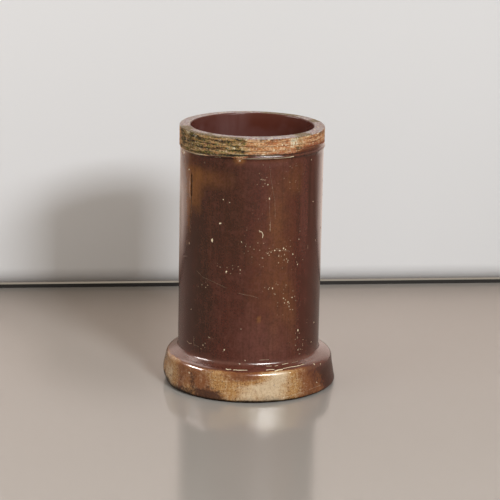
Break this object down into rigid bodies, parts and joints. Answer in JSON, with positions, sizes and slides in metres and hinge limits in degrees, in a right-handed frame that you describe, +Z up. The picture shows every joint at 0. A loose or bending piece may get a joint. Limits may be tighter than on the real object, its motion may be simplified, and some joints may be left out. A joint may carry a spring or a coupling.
{
  "type": "clay drain pipe",
  "caption": "Salt-glazed clay drain pipe with a wide socket at its foot and a grooved spigot at its top, standing upright and open right through.",
  "frame": {"origin": "centre of the socket's mouth, on the surface that the pipe stands on", "axes": "+Z up along the pipe's axis, from the socket to the spigot; X and Y across it"},
  "size_m": [0.4338, 0.4338, 0.655],
  "materials": {
    "salt_glaze": "glossy"
  },
  "bodies": {
    "root": {"drain_pipe": "salt_glaze"}
  },
  "joints": []
}
